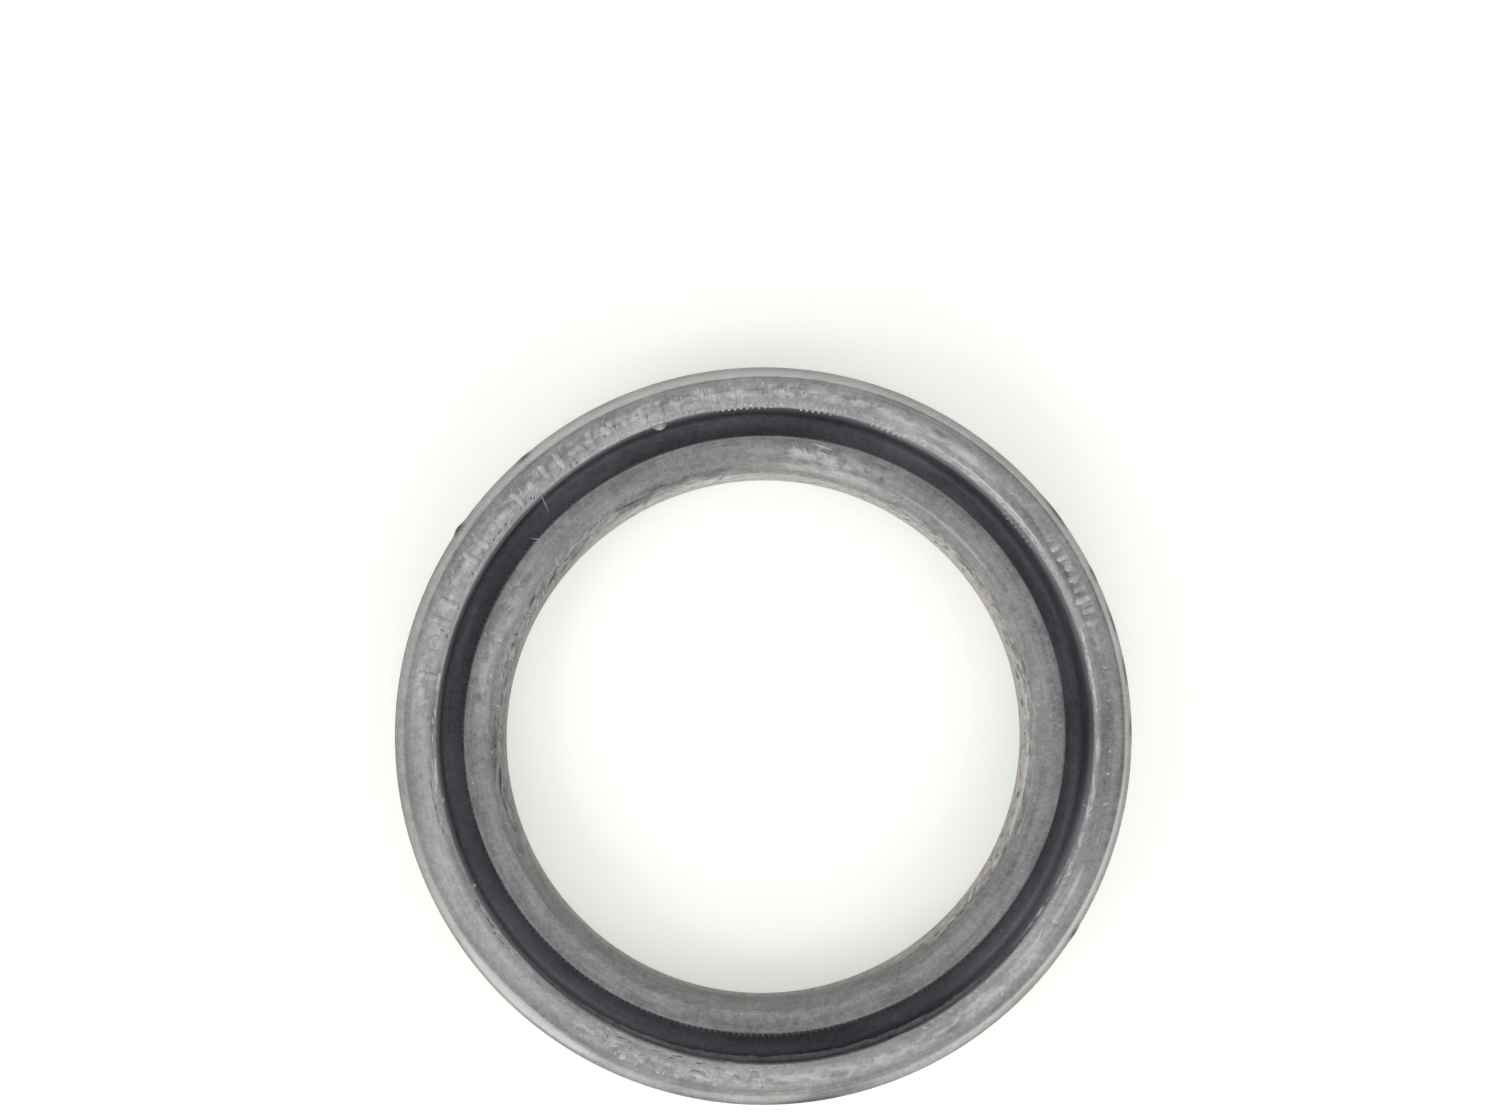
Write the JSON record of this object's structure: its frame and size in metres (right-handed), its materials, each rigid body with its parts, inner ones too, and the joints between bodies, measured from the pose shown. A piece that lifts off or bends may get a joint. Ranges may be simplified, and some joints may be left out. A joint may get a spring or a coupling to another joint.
{
  "type": "radial shaft seal",
  "caption": "Rubber-covered radial shaft seal ring with a spring-loaded sealing lip and a dust lip, for a rotating shaft in a housing bore.",
  "frame": {"origin": "on the bore axis, in the back face (air side) that the seal rests on", "axes": "+Z along the bore axis, from the air side to the oil side with the spring; X and Y across the ring"},
  "size_m": [0.0702, 0.0702, 0.01],
  "materials": {
    "elastomer": "matt dark grey nitrile rubber with a pale dusty bloom",
    "case_steel": "phosphated pressed sheet steel",
    "spring_steel": "dark oiled spring wire"
  },
  "bodies": {
    "root": {"seal_body": "elastomer", "steel_case": "case_steel", "garter_spring": "spring_steel"}
  },
  "joints": []
}
